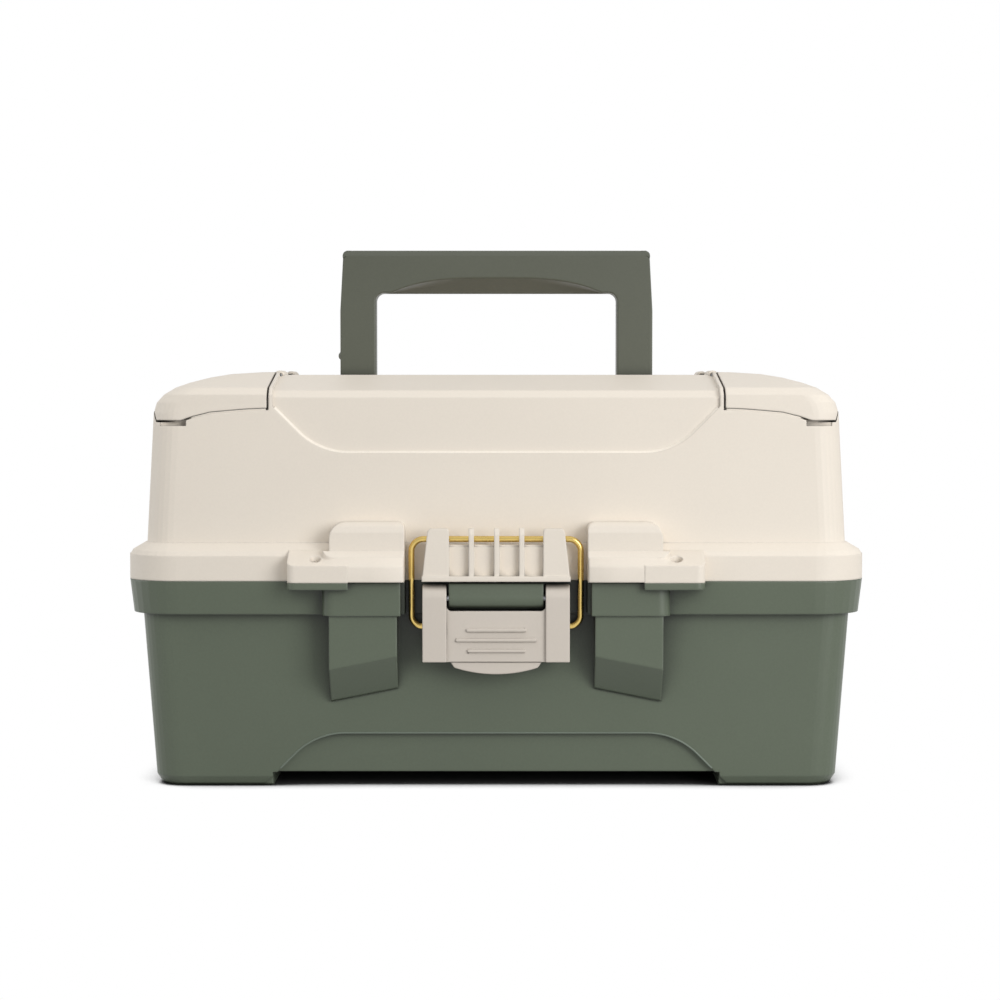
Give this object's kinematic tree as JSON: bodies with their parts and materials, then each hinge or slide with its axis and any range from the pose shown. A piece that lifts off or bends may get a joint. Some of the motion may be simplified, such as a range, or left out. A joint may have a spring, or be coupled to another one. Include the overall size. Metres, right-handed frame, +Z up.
{
  "type": "tackle box",
  "caption": "Portable tackle box with a grey-green base, off-white lid, folding handle, wire bail latch, lid doors and cantilever trays.",
  "frame": {"origin": "centre of the object's footprint at ground level", "axes": "+X along the width to the right seen from the front, +Y to the rear, +Z up; the latch faces -Y"},
  "size_m": [0.363, 0.23, 0.2676],
  "materials": {
    "base_plastic": "satin moulded texture, grey green",
    "lid_plastic": "satin moulded texture, off-white",
    "latch_plastic": "satin, beige",
    "handle_plastic": "satin, dark grey green",
    "tray_plastic": "satin, light grey green",
    "divider_plastic": "satin, off-white",
    "arm_plastic": "satin, grey green",
    "brass_wire": "bright plated wire",
    "steel": "plated"
  },
  "bodies": {
    "base": {"base_shell": "base_plastic", "hinge_pin_left": "steel", "hinge_pin_right": "steel", "latch_pin": "steel", "base_rivets": "steel"},
    "lid": {"lid_shell": "lid_plastic", "lid_rivets": "steel", "door_pins_left": "steel", "door_pins_right": "steel"},
    "left_door": {"door_left": "lid_plastic"},
    "right_door": {"door_right": "lid_plastic"},
    "carry_handle": {"handle": "handle_plastic"},
    "lever": {"latch_lever": "latch_plastic"},
    "bail": {"latch_bail": "brass_wire"},
    "front_arms": {"front_arm_left": "arm_plastic", "front_arm_right": "arm_plastic"},
    "rear_arms": {"rear_arm_left": "arm_plastic", "rear_arm_right": "arm_plastic"},
    "lower_tray_body": {"lower_tray": "tray_plastic", "lower_tray_rivets": "steel", "lower_divider_1": "divider_plastic", "lower_divider_2": "divider_plastic", "lower_divider_3": "divider_plastic", "lower_divider_4": "divider_plastic", "lower_divider_5": "divider_plastic"},
    "upper_tray_body": {"upper_tray": "tray_plastic", "upper_tray_rivets": "steel", "upper_divider_1": "divider_plastic", "upper_divider_2": "divider_plastic", "upper_divider_3": "divider_plastic", "upper_divider_4": "divider_plastic", "upper_divider_5": "divider_plastic", "upper_divider_6": "divider_plastic"}
  },
  "joints": [
    {"name": "lid_hinge", "type": "hinge", "parent": "base", "child": "lid", "pos_m": [0, 0.1095, 0.087], "axis": [-1, 0, 0], "range_deg": [0, 100]},
    {"name": "front_arm_pivot", "type": "hinge", "parent": "base", "child": "front_arms", "pos_m": [0, 0.0435, 0.087], "axis": [-1, 0, 0], "range_deg": [0, 100]},
    {"name": "lower_tray_pivot", "type": "hinge", "parent": "front_arms", "child": "lower_tray_body", "pos_m": [0, -0.0047, 0.10028], "axis": [-1, 0, 0], "range_deg": [-100, 0]},
    {"name": "upper_tray_pivot", "type": "hinge", "parent": "front_arms", "child": "upper_tray_body", "pos_m": [0, -0.03748, 0.10931], "axis": [-1, 0, 0], "range_deg": [-100, 0]},
    {"name": "rear_arm_pivot", "type": "hinge", "parent": "lower_tray_body", "child": "rear_arms", "pos_m": [0, 0.0613, 0.10028], "axis": [-1, 0, 0], "range_deg": [0, 100]},
    {"name": "handle_fold", "type": "hinge", "parent": "lid", "child": "carry_handle", "pos_m": [0, 0, 0.1927], "axis": [-1, 0, 0], "range_deg": [0, 90]},
    {"name": "left_door_hinge", "type": "hinge", "parent": "lid", "child": "left_door", "pos_m": [-0.11, 0, 0.2022], "axis": [0, 1, 0], "range_deg": [0, 110]},
    {"name": "right_door_hinge", "type": "hinge", "parent": "lid", "child": "right_door", "pos_m": [0.11, 0, 0.2022], "axis": [0, -1, 0], "range_deg": [0, 110]},
    {"name": "latch_lever_pivot", "type": "hinge", "parent": "base", "child": "lever", "pos_m": [0, -0.1046, 0.0941], "axis": [-1, 0, 0], "range_deg": [0, 100]},
    {"name": "latch_bail_pivot", "type": "hinge", "parent": "lever", "child": "bail", "pos_m": [0, -0.0992, 0.0799], "axis": [-1, 0, 0], "range_deg": [-71, 0]}
  ],
  "couplings": [
    {"joint": "front_arm_pivot", "follows": "lid_hinge", "ratio": 1},
    {"joint": "lower_tray_pivot", "follows": "lid_hinge", "ratio": -1},
    {"joint": "upper_tray_pivot", "follows": "lid_hinge", "ratio": -1},
    {"joint": "rear_arm_pivot", "follows": "lid_hinge", "ratio": 1},
    {"joint": "latch_bail_pivot", "follows": "latch_lever_pivot", "ratio": -0.7}
  ]
}
